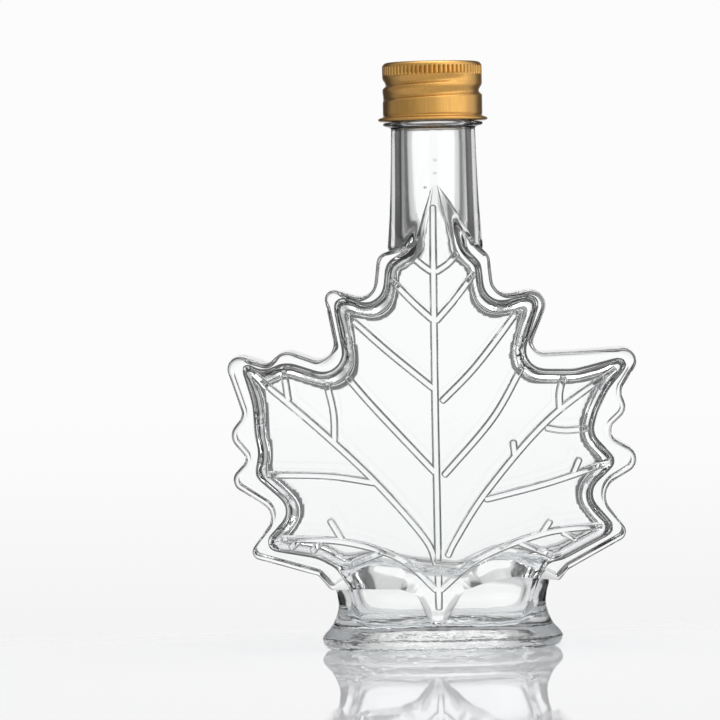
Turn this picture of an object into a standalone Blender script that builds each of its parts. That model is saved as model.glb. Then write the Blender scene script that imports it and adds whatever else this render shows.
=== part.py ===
"""Clear glass syrup bottle shaped like a maple leaf, with a gold screw cap.

Two pieces: the glass, and the cap that closes its mouth. Lengths in the tables are
millimetres, measured from the neck's axis and the floor, and the front faces -Y.
"""

import math

import bmesh
import bpy
from mathutils import Matrix, Vector

MM = 0.001
GAP = 0.35                    # air left between the cap and the glass it rests on
WELD = 0.005                  # points closer than this are one point
SMOOTH_ANGLE = math.radians(32)

# Driving dimensions of the glass
TOTAL_HEIGHT = 146.0
LEAF_HALF_DEPTH = 12.5        # the flat front and back faces lie this far from the middle
FACE_WALL = 3.1               # glass behind a flat face
EDGE_DEPTH = 2.6              # how deep the rounded edge is, behind a flat face
DRAFT = 0.5                   # how much the edge's straight part leans in, for the mould
RING_TOP = 131.05
BORE_MOUTH_RADIUS = 7.0
BORE_NECK_RADIUS = 6.7
VEIN_RADIUS = 0.72
VEIN_SINK = 0.16              # depth of a vein's centre line below the face
VEIN_END_SHARE = 0.62         # a vein's outer end is thinner, by this share

# Driving dimensions of the cap
CAP_RADIUS = 12.4
CAP_LIP_RADIUS = 13.65
CAP_BOTTOM = RING_TOP + GAP
CAP_INNER_RADIUS = 11.1
CAP_TOP_THICKNESS = 1.6
CAP_TOP_ROUNDING = 1.2
MOUTH_TOP = TOTAL_HEIGHT - CAP_TOP_THICKNESS - GAP
THREAD_PITCH = 3.3
THREAD_TURNS = 1.45
THREAD_START = Vector((math.radians(165), 136.9))   # angle and height where the groove starts
THREAD_DEPTH = 0.72
THREAD_TOOL_RADIUS = 1.7
THREAD_STEPS = 26
THREAD_FADE_STEPS = 3           # the groove runs out over this many steps
KNURL_COUNT = 60
KNURL_BOTTOM = 142.7
KNURL_TOP = 145.0
KNURL_DEPTH = 0.28
KNURL_TOOL_RADIUS = 0.46

ROUND_STEPS = 48              # segments round the neck and the cap
ARC_STEP = math.radians(24)   # largest turn from one point of the leaf's outline to the next
EDGE_STEPS = 2                # bands of a rounded edge, from its straight part to the face
HOLLOW_EDGE_STEPS = 3
TUBE_STEPS = 2                # finer pieces of a bar, along it and round a quarter of it
BALL_STEPS = (24, 10)         # segments round and over a flattened ball
MOST_OF_SIDE = 0.49           # a fillet takes at most this share of either side

# The leaf's corners, anticlockwise as seen from the front. Each has its place and fillet
# radius in the outermost outline, how wide the rounded edge is there, and the place and
# radius of the hollow's corner, or None where the hollow goes straight past.
LEAF = [
    # rim x, z, radius       edge   hollow x, z, radius         place
    ((-0.2, 117.5, 1.5), 2.4, None),                        # tip, run out on the neck
    ((-5.3, 105.0, 10.0), 2.4, None),                       # tip's left flank
    ((-6.6, 101.0, 2.5), 2.4, None),                        # foot of the tip, left
    ((-14.5, 98.5, 3.0), 2.4, (-12.6, 96.9, 2.6)),          # left shoulder
    ((-15.9, 87.3, 3.5), 2.4, (-13.7, 85.2, 4.5)),          # notch under the shoulder
    ((-28.4, 91.1, 2.4), 2.4, (-26.3, 89.1, 1.4)),          # upper left lobe
    ((-24.6, 70.8, 6.0), 2.4, (-22.4, 67.3, 5.5)),          # deep left notch
    ((-37.9, 75.6, 4.0), 2.4, (-37.9, 72.6, 6.0)),          # bump before the side lobe
    ((-42.1, 72.1, 2.0), 2.4, (-43.5, 69.7, 5.0)),          # dip before the side lobe
    ((-53.9, 75.9, 5.5), 2.4, (-49.7, 73.8, 2.2)),          # left side lobe
    ((-48.5, 59.4, 2.5), 2.4, (-46.2, 61.5, 14.0)),         # above the first tooth
    ((-52.5, 54.4, 3.0), 2.4, (-46.0, 54.5, 10.0)),         # first tooth
    ((-47.6, 48.5, 1.5), 2.4, (-45.0, 49.3, 4.0)),          # between the teeth
    ((-52.9, 42.9, 3.2), 2.4, (-46.3, 43.9, 3.0)),          # second tooth
    ((-40.6, 34.9, 3.5), 2.4, (-36.8, 35.4, 4.0)),          # lower left notch
    ((-48.2, 24.4, 2.2), 2.4, (-45.6, 25.8, 1.4)),          # lower left lobe
    ((-30.5, 19.2, 1.0), 4.0, (-30.6, 23.0, 8.0)),          # under edge, left
    ((-27.6, 15.6, 2.2), 3.5, (-24.8, 19.6, 5.0)),          # small bulb beside the foot, left
    ((-19.0, 13.0, 3.0), 6.0, (-16.7, 20.9, 8.0)),          # over the foot, left
    ((-8.0, 11.0, 4.0), 5.0, (-7.8, 18.9, 5.0)),            # stem's left side
    ((-0.9, 2.2, 1.5), 2.6, None),                          # end of the stem
    ((6.0, 12.0, 4.0), 5.0, (4.8, 17.3, 5.0)),              # stem's right side
    ((18.0, 14.6, 4.0), 6.0, (14.1, 21.6, 8.0)),            # over the foot, right
    ((29.2, 17.0, 1.2), 3.5, (25.4, 20.5, 5.0)),            # small bulb beside the foot, right
    ((31.6, 19.8, 1.0), 3.5, (30.4, 21.7, 8.0)),            # under edge, right
    ((47.1, 28.2, 2.5), 2.4, (44.4, 28.9, 1.6)),            # lower right lobe
    ((39.0, 39.0, 4.5), 2.4, (36.4, 38.3, 4.0)),            # lower right notch
    ((52.3, 46.9, 3.6), 2.4, (44.7, 46.0, 2.0)),            # second tooth
    ((41.0, 53.4, 2.6), 2.4, (38.2, 53.1, 3.5)),            # between the teeth
    ((46.9, 58.9, 3.5), 2.4, (39.7, 58.4, 15.0)),           # first tooth
    ((45.1, 63.7, 3.0), 2.4, (42.5, 64.0, 8.0)),            # above the first tooth
    ((52.3, 74.8, 4.5), 2.4, (50.3, 73.2, 2.4)),            # right side lobe
    ((36.0, 73.9, 9.0), 2.4, (33.8, 69.3, 9.0)),            # along the lobe's upper edge
    ((22.6, 73.5, 2.5), 2.4, (20.4, 69.6, 4.5)),            # deep right notch
    ((29.5, 90.4, 4.0), 2.4, (26.7, 88.7, 2.4)),            # upper right lobe
    ((14.5, 87.9, 3.5), 2.4, (12.3, 85.5, 4.5)),            # notch under the shoulder
    ((13.5, 97.7, 3.0), 2.4, (11.4, 96.4, 3.0)),            # right shoulder
    ((8.6, 101.8, 4.0), 2.4, None),                         # foot of the tip, right
    ((6.0, 106.4, 10.0), 2.4, None),                        # tip's right flank
]
HOLLOW_EDGE = 3.6             # how wide the hollow's own rounded edge is
HOLLOW_SMALLEST_RADIUS = 2.4  # blown glass rounds the hollow's corners
LEAF_SMALLEST_RADIUS = 0.5

# Raised veins on the front face: points of each centre line, x and z.
VEINS = {
    "midrib": [(-0.4, 108.2), (-0.6, 92.7), (-0.8, 61.7), (-0.8, 37.7), (-0.8, 10.3)],
    "first_left": [(-5.2, 97.2), (-2.9, 95.3), (-0.7, 93.7)],
    "first_right": [(5.6, 98.7), (3.1, 95.9), (-0.4, 93.6)],
    "second_left": [(-11.2, 92.5), (-6.0, 86.8), (-0.7, 81.8)],
    "second_right": [(9.5, 93.7), (5.0, 87.6), (-0.5, 81.4)],
    "third_left": [(-20.8, 82.4), (-11.7, 74.1), (-0.8, 64.9)],
    "third_right": [(20.3, 84.3), (9.4, 70.5), (0.6, 61.7)],
    "fourth_left": [(-22.6, 68.7), (-15.6, 60.4), (-0.9, 44.2)],
    "fourth_right": [(20.7, 70.0), (13.2, 57.4), (0.8, 43.4)],
    "lobe_left": [(-45.4, 69.5), (-29.6, 55.7), (-16.0, 42.5), (-4.0, 28.3), (-1.2, 21.5)],
    "lobe_right": [(43.9, 69.4), (26.6, 56.6), (11.5, 39.6), (3.7, 27.9), (1.4, 23.4)],
    "upper_spur_left": [(-38.0, 70.5), (-36.9, 62.4)],
    "inner_spur_left": [(-27.5, 67.3), (-25.9, 59.7), (-25.8, 52.1)],
    "tooth_left": [(-42.8, 44.7), (-27.0, 44.0), (-15.4, 42.1)],
    "upper_spur_right": [(31.1, 67.8), (29.9, 63.7), (29.9, 59.1)],
    "inner_spur_right": [(26.0, 55.1), (31.0, 54.3), (37.0, 54.7)],
    "short_spur_right": [(18.2, 52.3), (18.6, 47.9)],
    "tooth_right": [(10.8, 37.5), (27.1, 41.5), (42.2, 46.4)],
    "tooth_spur_right": [(34.6, 47.6), (32.6, 43.1)],
    "low_left": [(-39.6, 28.8), (-23.7, 27.7), (-10.2, 23.3), (-1.0, 15.1)],
    "low_left_spur_a": [(-27.5, 33.6), (-24.2, 27.9)],
    "low_left_spur_b": [(-37.4, 26.1), (-34.8, 28.5)],
    "low_left_spur_c": [(-32.1, 25.2), (-29.2, 28.3)],
    "low_left_spur_d": [(-22.1, 22.3), (-14.2, 25.1)],
    "low_right": [(39.9, 30.6), (25.6, 29.0), (9.5, 23.1), (-0.7, 15.1)],
    "low_right_spur_a": [(27.2, 32.4), (24.6, 28.5)],
    "low_right_spur_b": [(29.6, 29.4), (33.7, 27.1)],
    "low_right_spur_c": [(19.0, 26.9), (27.5, 23.5)],
}

# Neck, mouth and glass ring, from the outer side's top to its foot inside the leaf
NECK_OUTSIDE = [
    (0.0, MOUTH_TOP), (9.6, MOUTH_TOP), (10.3, MOUTH_TOP - 0.7), (10.3, RING_TOP),
    (12.0, RING_TOP), (12.45, 130.7),
    (12.45, 130.35), (11.9, 129.85), (10.9, 129.5), (10.5, 129.0), (10.72, 121.0),
    (11.15, 110.0), (11.9, 100.2), (12.3, 98.2), (11.0, 94.0), (0.0, 94.0),
]
BORE = [
    (0.0, 150.0), (BORE_MOUTH_RADIUS, 150.0), (BORE_MOUTH_RADIUS, 141.0),
    (BORE_NECK_RADIUS, 136.0), (BORE_NECK_RADIUS, 110.0), (7.0, 105.0), (7.9, 101.5),
    (9.0, 98.8), (9.3, 96.3), (8.8, 92.0), (0.0, 92.0),
]

# Oval foot: height, half width and half depth of each section, and of the hollow in it
FOOT_POWER = 2.35
FOOT_STEPS = 48
FOOT_OUTSIDE = [
    (0.0, 27.4, 12.2), (0.5, 28.8, 13.5), (1.4, 29.6, 14.3), (2.9, 30.0, 14.7), (4.2, 29.2, 14.1),
    (5.6, 27.9, 13.1), (7.6, 26.8, 12.1), (10.6, 25.9, 11.2), (13.8, 26.2, 10.9),
    (17.0, 26.8, 10.8), (23.0, 25.0, 9.0),
]
FOOT_HOLLOW = [
    (3.8, 15.5, 4.6), (4.6, 19.2, 6.9), (6.2, 20.8, 7.9), (11.0, 21.2, 7.9),
    (18.0, 21.6, 8.2), (27.0, 20.0, 8.0),
]
HOLLOW_STEPS = 36
UNDERSIDE_DOME = (21.5, 8.6, 2.1)       # half width, half depth and height of the push-up
FLOOR_MOUND = (19.0, 8.4, 3.4)          # the same of the glass that rises inside over it

GLASS = {"colour": (0.93, 0.95, 0.95), "roughness": 0.03, "metallic": 0.0, "alpha": 0.35}
GOLD = {"colour": (0.62, 0.36, 0.09), "roughness": 0.32, "metallic": 1.0, "alpha": 1.0}


def clear_scene():
    for old in list(bpy.data.objects):
        bpy.data.objects.remove(old, do_unlink=True)


def new_collection(name):
    made = bpy.data.collections.new(name)
    bpy.context.scene.collection.children.link(made)
    return made


def put(obj, collection):
    """Leaves an object in this collection alone."""
    for other in list(obj.users_collection):
        other.objects.unlink(obj)
    collection.objects.link(obj)
    return obj


def mesh_object(name, shape, collection):
    """Turns a bmesh into an object."""
    data = bpy.data.meshes.new(name)
    shape.to_mesh(data)
    shape.free()
    made = bpy.data.objects.new(name, data)
    collection.objects.link(made)
    return made


def finish(name, look):
    """A Principled material with the piece's own colour."""
    made = bpy.data.materials.new(name)
    made.use_nodes = True
    shader = made.node_tree.nodes["Principled BSDF"]
    shader.inputs["Base Color"].default_value = (*look["colour"], 1.0)
    shader.inputs["Roughness"].default_value = look["roughness"]
    shader.inputs["Metallic"].default_value = look["metallic"]
    shader.inputs["Alpha"].default_value = look["alpha"]
    return made


def turned(name, profile, collection):
    """Turns a profile of (radius, height) about the Z axis with a Screw modifier."""
    shape = bmesh.new()
    line = [shape.verts.new((r * MM, 0.0, z * MM)) for r, z in profile]
    for one, other in zip(line, line[1:]):
        shape.edges.new((one, other))
    made = mesh_object(name, shape, collection)
    screw = made.modifiers.new("Turn", "SCREW")
    screw.axis = "Z"
    screw.steps = ROUND_STEPS
    screw.render_steps = ROUND_STEPS
    screw.use_merge_vertices = True
    screw.merge_threshold = WELD * MM
    screw.use_normal_calculate = False
    return made


def corner_arc(before, corner, after, radius, count):
    """Points of the fillet at one corner of an outline, count + 1 of them."""
    back = (before - corner).normalized()
    ahead = (after - corner).normalized()
    half = math.acos(max(-1.0, min(1.0, back.dot(ahead)))) / 2
    room = MOST_OF_SIDE * min((before - corner).length, (after - corner).length)
    tangent = min(radius / math.tan(half), room)
    radius = tangent * math.tan(half)
    centre = corner + (back + ahead).normalized() * (radius / math.sin(half))
    start = corner + back * tangent - centre
    turn = start.angle_signed(corner + ahead * tangent - centre)
    points = []
    for i in range(count + 1):
        angle = -turn * i / count
        points.append(centre + Matrix.Rotation(angle, 2) @ start)
    return points


def turn_counts(corners):
    """How many straight steps the fillet at each corner takes."""
    counts = []
    places = [Vector(c[:2]) for c in corners]
    for i, place in enumerate(places):
        inward = place - places[i - 1]
        outward = places[(i + 1) % len(places)] - place
        counts.append(max(2, math.ceil(inward.angle(outward) / ARC_STEP)))
    return counts


def outline(corners, counts):
    """A closed outline with a fillet at every corner."""
    places = [Vector(c[:2]) for c in corners]
    points = []
    for i, place in enumerate(places):
        after = places[(i + 1) % len(places)]
        points += corner_arc(places[i - 1], place, after, corners[i][2], counts[i])
    return points


def moved_inward(corners, distances, smallest):
    """The same corners, each moved inward by its distance, and the fillets fitted to match."""
    made = []
    for i, (corner, distance) in enumerate(zip(corners, distances)):
        place = Vector(corner[:2])
        side_in = (place - Vector(corners[i - 1][:2])).normalized()
        side_out = (Vector(corners[(i + 1) % len(corners)][:2]) - place).normalized()
        left_in = Vector((-side_in.y, side_in.x))
        left_out = Vector((-side_out.y, side_out.x))
        shift = (left_in + left_out) * (distance / (1 + left_in.dot(left_out)))
        points_out = side_in.x * side_out.y - side_in.y * side_out.x > 0
        radius = corner[2] - distance if points_out else corner[2] + distance
        made.append((*(place + shift), max(radius, smallest)))
    return made


def loft(name, rings, collection):
    """Skins rings of equal point counts, in order along +Y or +Z, and caps both ends."""
    shape = bmesh.new()
    rows = [[shape.verts.new(point) for point in ring] for ring in rings]
    for low, high in zip(rows, rows[1:]):
        for i in range(len(low)):
            j = (i + 1) % len(low)
            shape.faces.new((low[i], low[j], high[j], high[i]))
    shape.faces.new(rows[0][::-1])
    shape.faces.new(rows[-1])
    bmesh.ops.recalc_face_normals(shape, faces=shape.faces)
    return mesh_object(name, shape, collection)


def slab(name, middle, wall, face, half_depth, edge_depth, steps, collection):
    """A flat-faced slab. Its side runs from the middle outline out to the wall's, and its
    rounded edge from there to the face's."""
    levels = [(0.0, middle)]
    for i in range(steps + 1):
        angle = math.pi / 2 * i / steps
        depth = half_depth - edge_depth * (1 - math.sin(angle))
        drawn_in = [one.lerp(other, 1 - math.cos(angle)) for one, other in zip(wall, face)]
        if depth > 0:
            levels.append((depth, drawn_in))
    levels = [(-depth, ring) for depth, ring in levels[:0:-1]] + levels
    rings = [[Vector((p.x, depth, p.y)) * MM for p in ring] for depth, ring in levels]
    return loft(name, rings, collection)


def oval(half_width, half_depth, height, steps):
    """One section of the foot, between an ellipse and a rounded box."""
    points = []
    for i in range(steps):
        angle = 2 * math.pi * i / steps
        c, s = math.cos(angle), math.sin(angle)
        x = half_width * math.copysign(abs(c) ** (2 / FOOT_POWER), c)
        y = half_depth * math.copysign(abs(s) ** (2 / FOOT_POWER), s)
        points.append(Vector((x, y, height)) * MM)
    return points


def oval_stack(name, sections, steps, collection):
    return loft(name, [oval(w, d, z, steps) for z, w, d in sections], collection)


def flattened_ball(name, half_sizes, height, collection):
    shape = bmesh.new()
    around, over = BALL_STEPS
    bmesh.ops.create_uvsphere(shape, u_segments=around, v_segments=over, radius=1.0)
    size = Matrix.Diagonal((*(s * MM for s in half_sizes), 1.0))
    bmesh.ops.transform(shape, matrix=size, verts=shape.verts)
    made = mesh_object(name, shape, collection)
    made.location.z = height * MM
    return made


def tube(name, points, radius, collection, first_share=1.0):
    """A round bar along a smooth curve through the points, as a closed mesh."""
    data = bpy.data.curves.new(name, "CURVE")
    data.dimensions = "3D"
    data.bevel_depth = radius * MM
    data.bevel_resolution = TUBE_STEPS
    data.use_fill_caps = True
    data.resolution_u = TUBE_STEPS
    data.render_resolution_u = TUBE_STEPS
    spline = data.splines.new("BEZIER")
    spline.bezier_points.add(len(points) - 1)
    for knot, point in zip(spline.bezier_points, points):
        knot.co = Vector(point) * MM
        knot.handle_left_type = "AUTO"
        knot.handle_right_type = "AUTO"
    spline.bezier_points[0].radius = first_share
    curve = bpy.data.objects.new(name, data)
    collection.objects.link(curve)
    made = as_mesh(curve, collection)
    bpy.data.curves.remove(data)
    return made


def as_mesh(curve, collection):
    """Replaces a curve object by the mesh that it shows, with its caps welded."""
    bpy.context.view_layer.update()
    seen = curve.evaluated_get(bpy.context.evaluated_depsgraph_get())
    data = bpy.data.meshes.new_from_object(seen)
    shape = bmesh.new()
    shape.from_mesh(data)
    bmesh.ops.remove_doubles(shape, verts=shape.verts, dist=WELD * MM)
    shape.to_mesh(data)
    shape.free()
    made = bpy.data.objects.new(curve.name, data)
    made.matrix_world = curve.matrix_world
    collection.objects.link(made)
    bpy.data.objects.remove(curve)
    return made


def apply_all(obj):
    """Replaces an object's mesh by the one that its modifiers make."""
    bpy.context.view_layer.update()
    seen = obj.evaluated_get(bpy.context.evaluated_depsgraph_get())
    data = bpy.data.meshes.new_from_object(seen)
    obj.modifiers.clear()
    obj.data = data
    return obj


def combine(obj, others, operation):
    """One Boolean with every object of a collection, applied, and those objects removed."""
    boolean = obj.modifiers.new(operation.title(), "BOOLEAN")
    boolean.operation = operation
    boolean.operand_type = "COLLECTION"
    boolean.collection = others
    boolean.solver = "EXACT"
    apply_all(obj)
    for used in list(others.objects):
        bpy.data.objects.remove(used, do_unlink=True)
    return obj


def leaf_outlines():
    """The leaf's outline in the middle, where its edge starts to round, and on its face."""
    rim = [corner[0] for corner in LEAF]
    wall = moved_inward(rim, [DRAFT] * len(LEAF), LEAF_SMALLEST_RADIUS)
    face = moved_inward(rim, [DRAFT + corner[1] for corner in LEAF], LEAF_SMALLEST_RADIUS)
    counts = turn_counts(rim)
    return [outline(corners, counts) for corners in (rim, wall, face)]


def make_leaf(collection):
    """The leaf itself: a thick slab with flat faces and a rounded, toothed edge."""
    middle, wall, face = leaf_outlines()
    return slab(
        "bottle", middle, wall, face, LEAF_HALF_DEPTH, EDGE_DEPTH, EDGE_STEPS, collection
    )


def make_leaf_hollow(collection):
    """The blown hollow, which leaves the teeth solid and has a wide rounded edge."""
    corners = [corner[2] for corner in LEAF if corner[2]]
    wide = moved_inward(corners, [0.0] * len(corners), HOLLOW_SMALLEST_RADIUS)
    narrow = moved_inward(corners, [HOLLOW_EDGE] * len(corners), HOLLOW_SMALLEST_RADIUS)
    counts = turn_counts(corners)
    middle, face = outline(wide, counts), outline(narrow, counts)
    half_depth = LEAF_HALF_DEPTH - FACE_WALL
    return slab(
        "leaf_hollow", middle, middle, face, half_depth, half_depth, HOLLOW_EDGE_STEPS,
        collection,
    )


def make_veins(collection):
    depth = LEAF_HALF_DEPTH - VEIN_SINK
    for name, points in VEINS.items():
        line = [(x, -depth, z) for x, z in points]
        tube(name, line, VEIN_RADIUS, collection, VEIN_END_SHARE)


def make_bottle(pieces, joined, cutters):
    """The glass: leaf, neck, foot and veins in one, then the hollow taken out."""
    bottle = make_leaf(pieces)
    turned("neck", NECK_OUTSIDE, joined)
    oval_stack("foot", FOOT_OUTSIDE, FOOT_STEPS, joined)
    make_veins(joined)
    combine(bottle, joined, "UNION")

    hollow = make_leaf_hollow(pieces)
    turned("bore", BORE, joined)
    oval_stack("foot_hollow", FOOT_HOLLOW, HOLLOW_STEPS, joined)
    combine(hollow, joined, "UNION")
    flattened_ball("floor_mound", FLOOR_MOUND, FOOT_HOLLOW[0][0], joined)
    combine(hollow, joined, "DIFFERENCE")
    put(hollow, cutters)
    flattened_ball("underside_dome", UNDERSIDE_DOME, 0.0, cutters)
    combine(bottle, cutters, "DIFFERENCE")
    bottle.data.materials.clear()
    bottle.data.materials.append(finish("clear_glass", GLASS))
    return bottle


def cap_profile():
    """The cap's section, down its outer side and up its inner one."""
    under_top = TOTAL_HEIGHT - CAP_TOP_THICKNESS
    edge = []
    for degrees in (0, 30, 60, 90):
        in_by = CAP_TOP_ROUNDING * (1 - math.sin(math.radians(degrees)))
        down_by = CAP_TOP_ROUNDING * (1 - math.cos(math.radians(degrees)))
        edge.append((CAP_RADIUS - in_by, TOTAL_HEIGHT - down_by))
    lip = [
        (CAP_RADIUS, 133.1), (12.25, 132.85), (12.45, 132.55), (13.1, 132.35),
        (CAP_LIP_RADIUS - 0.1, 132.1), (CAP_LIP_RADIUS, 131.8),
        (CAP_LIP_RADIUS - 0.2, CAP_BOTTOM + 0.05), (13.0, CAP_BOTTOM),
    ]
    inside = [
        (CAP_INNER_RADIUS, CAP_BOTTOM), (CAP_INNER_RADIUS, under_top), (0.0, under_top),
    ]
    return [(0.0, TOTAL_HEIGHT)] + edge + [(CAP_RADIUS, 140.0)] + lip + inside


def make_thread_tool(collection):
    """The rolled groove that climbs round the cap, as a bar that is taken out of it."""
    distance = CAP_RADIUS - THREAD_DEPTH + THREAD_TOOL_RADIUS
    points = []
    for i in range(THREAD_STEPS + 1):
        turned_by = 2 * math.pi * THREAD_TURNS * i / THREAD_STEPS
        angle = THREAD_START.x + turned_by
        height = THREAD_START.y + THREAD_PITCH * turned_by / (2 * math.pi)
        steps_from_end = min(i, THREAD_STEPS - i)
        away = THREAD_DEPTH * max(0.0, 1 - steps_from_end / THREAD_FADE_STEPS)
        reach = distance + away
        points.append((reach * math.cos(angle), reach * math.sin(angle), height))
    tube("thread_tool", points, THREAD_TOOL_RADIUS, collection)


def make_knurl_tools(collection):
    """Upright flutes round the cap's top edge, all in one mesh."""
    shape = bmesh.new()
    distance = CAP_RADIUS - KNURL_DEPTH + KNURL_TOOL_RADIUS
    height = KNURL_TOP - KNURL_BOTTOM
    for i in range(KNURL_COUNT):
        angle = 2 * math.pi * (i + 0.5) / KNURL_COUNT
        place = Vector((math.cos(angle), math.sin(angle), 0.0)) * distance
        place.z = (KNURL_TOP + KNURL_BOTTOM) / 2
        bmesh.ops.create_cone(
            shape, cap_ends=True, segments=4, radius1=KNURL_TOOL_RADIUS * MM,
            radius2=KNURL_TOOL_RADIUS * MM, depth=height * MM,
            matrix=Matrix.Translation(place * MM) @ Matrix.Rotation(angle, 4, "Z"),
        )
    mesh_object("knurl_tools", shape, collection)


def make_cap(pieces, cutters):
    """Thin aluminium screw cap: knurled top edge, rolled thread and a curled lip."""
    cap = turned("cap", cap_profile(), pieces)
    make_thread_tool(cutters)
    make_knurl_tools(cutters)
    combine(cap, cutters, "DIFFERENCE")
    cap.data.materials.clear()
    cap.data.materials.append(finish("gold_anodised_aluminium", GOLD))
    return cap


def leaf_middle():
    """Sideways offset of the leaf's own middle from the neck's axis."""
    across = [point.x for point in leaf_outlines()[0]]
    return (min(across) + max(across)) / 2


def shade(obj):
    obj.data.shade_smooth()
    obj.data.set_sharp_from_angle(angle=SMOOTH_ANGLE)


def main():
    clear_scene()
    pieces = new_collection("maple_leaf_bottle")
    joined = new_collection("joined_shapes")
    cutters = new_collection("cutters")
    bottle = make_bottle(pieces, joined, cutters)
    cap = make_cap(pieces, cutters)
    middle = bpy.data.objects.new("neck_axis", None)
    pieces.objects.link(middle)
    middle.location.x = -leaf_middle() * MM
    for piece in (bottle, cap):
        shade(piece)
        piece.parent = middle
    for spare in (joined, cutters):
        bpy.data.collections.remove(spare)


main()
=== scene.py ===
# %% [markdown]
# # A maple leaf syrup bottle
#
# One flat bottle of clear glass in the shape of a maple leaf, on an oval foot, with a gold
# screw cap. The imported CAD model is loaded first. It fixes the size and the place of both
# pieces, and the finer pieces that are made here stand in for its two nodes.

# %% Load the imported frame
import math

import bmesh
import bpy
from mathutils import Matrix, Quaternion, Vector


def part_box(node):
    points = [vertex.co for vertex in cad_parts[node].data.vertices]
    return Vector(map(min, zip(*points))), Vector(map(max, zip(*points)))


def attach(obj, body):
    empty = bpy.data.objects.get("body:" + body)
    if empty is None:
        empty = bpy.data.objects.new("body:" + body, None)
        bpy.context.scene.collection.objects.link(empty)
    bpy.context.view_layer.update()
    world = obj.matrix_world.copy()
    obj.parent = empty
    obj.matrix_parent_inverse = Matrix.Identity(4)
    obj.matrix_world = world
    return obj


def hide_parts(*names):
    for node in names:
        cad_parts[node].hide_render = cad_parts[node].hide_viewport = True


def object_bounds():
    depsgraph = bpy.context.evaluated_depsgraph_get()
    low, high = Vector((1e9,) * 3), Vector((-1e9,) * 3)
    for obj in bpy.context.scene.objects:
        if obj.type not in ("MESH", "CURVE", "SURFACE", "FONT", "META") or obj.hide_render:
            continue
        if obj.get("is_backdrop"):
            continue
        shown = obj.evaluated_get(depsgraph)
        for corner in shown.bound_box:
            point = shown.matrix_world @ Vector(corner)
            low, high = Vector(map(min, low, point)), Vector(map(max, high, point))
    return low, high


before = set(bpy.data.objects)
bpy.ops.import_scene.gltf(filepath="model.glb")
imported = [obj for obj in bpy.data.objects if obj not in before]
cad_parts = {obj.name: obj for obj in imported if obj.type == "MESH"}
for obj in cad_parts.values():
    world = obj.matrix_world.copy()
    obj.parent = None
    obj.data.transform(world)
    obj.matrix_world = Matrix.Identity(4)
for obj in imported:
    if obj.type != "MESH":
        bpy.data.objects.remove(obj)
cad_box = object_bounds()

MM = 0.001
cap_low, cap_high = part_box("cap")
NECK = Vector(((cap_low.x + cap_high.x) / 2, 0.0, 0.0))
print("the neck's axis is at x = %.2f mm" % (NECK.x / MM))

# %% [markdown]
# # Forms drawn through sections
#
# A glass mould and a rolled metal cap are both forms with a changing section. By hand, such a
# form starts as a filled circle, is laid on its first section, and is then extruded from one
# section to the next. `drawn_out` does just that, so nearly every form of this bottle can be
# made with it. Lengths are in millimetres from the neck's axis and the floor.

# %% Draw a form through its sections
def place(x, y, z):
    """A point in metres, from millimetres beside the neck's axis and above the floor."""
    return NECK + Vector((x, y, z)) * MM


def only(*chosen):
    """Selects these objects and no others, so that an operator acts on them alone."""
    bpy.ops.object.select_all(action="DESELECT")
    for piece in chosen:
        piece.select_set(True)
    bpy.context.view_layer.objects.active = chosen[0]


def drawn_out(name, sections):
    """Lays a filled circle on the first section and extrudes it to each of the others."""
    bpy.ops.object.select_all(action="DESELECT")
    count = len(sections[0])
    bpy.ops.mesh.primitive_circle_add(vertices=count, fill_type="NGON")
    form = bpy.context.object
    form.name = name
    for corner, point in zip(form.data.vertices, sections[0]):
        corner.co = point
    bpy.ops.object.mode_set(mode="EDIT")
    bpy.ops.mesh.select_all(action="SELECT")
    for section in sections[1:]:
        bpy.ops.mesh.extrude_region()
        mesh = bmesh.from_edit_mesh(form.data)
        mesh.verts.ensure_lookup_table()
        for corner, point in zip(mesh.verts[-count:], section):
            corner.co = point
    bpy.ops.mesh.select_all(action="SELECT")
    bpy.ops.mesh.normals_make_consistent(inside=False)
    bpy.ops.object.mode_set(mode="OBJECT")
    return form


print("100 mm up the neck's axis is at", ["%.4f" % metres for metres in place(0, 0, 100)])

# %% [markdown]
# # Modifiers
#
# A modifier is added and applied at once, as its Apply button does, so that the next step
# works on the real mesh. The Boolean modifier joins closed forms or takes one out of another.
# It leaves a crisp line where they meet, as the joint between two parts of a mould does.

# %% Apply modifiers
def applied(piece, kind, **settings):
    """Adds a modifier with these settings and applies it."""
    modifier = piece.modifiers.new(kind.title(), kind)
    for setting, value in settings.items():
        setattr(modifier, setting, value)
    only(piece)
    bpy.ops.object.modifier_apply(modifier=modifier.name)


def combined(piece, others, operation):
    """Joins other closed forms to a piece, or takes them out of it."""
    for other in others:
        applied(piece, "BOOLEAN", operation=operation, object=other, solver="MANIFOLD")
        bpy.data.objects.remove(other)


def triangles(piece):
    """How many triangles a piece's faces come to."""
    return sum(len(face.vertices) - 2 for face in piece.data.polygons)


packed = [piece for piece in bpy.data.objects if piece.type == "MESH"]
print("the packed model has", sum(triangles(piece) for piece in packed), "triangles")

# %% [markdown]
# # Smooth paths
#
# The veins, the foot's side and the cap's curled lip all follow smooth lines. Each is given by
# a few points only, and a spline through them gives as many points as the form needs.

# %% Run a smooth line through a few points
def smooth_path(points, steps):
    """A spline through points of any dimension, with so many steps between two of them."""
    points = [Vector(point) for point in points]
    ends = [2 * points[0] - points[1]] + points + [2 * points[-1] - points[-2]]
    path = []
    for before, start, end, after in zip(ends, ends[1:], ends[2:], ends[3:]):
        for i in range(steps):
            t = i / steps
            bend = 2 * before - 5 * start + 4 * end - after
            twist = 3 * start - before - 3 * end + after
            path.append(start + (t * (end - before) + t**2 * bend + t**3 * twist) / 2)
    return path + [points[-1]]


print("an arch of 3 points becomes", len(smooth_path([(0, 0), (1, 1), (2, 0)], 4)), "points")

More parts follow.
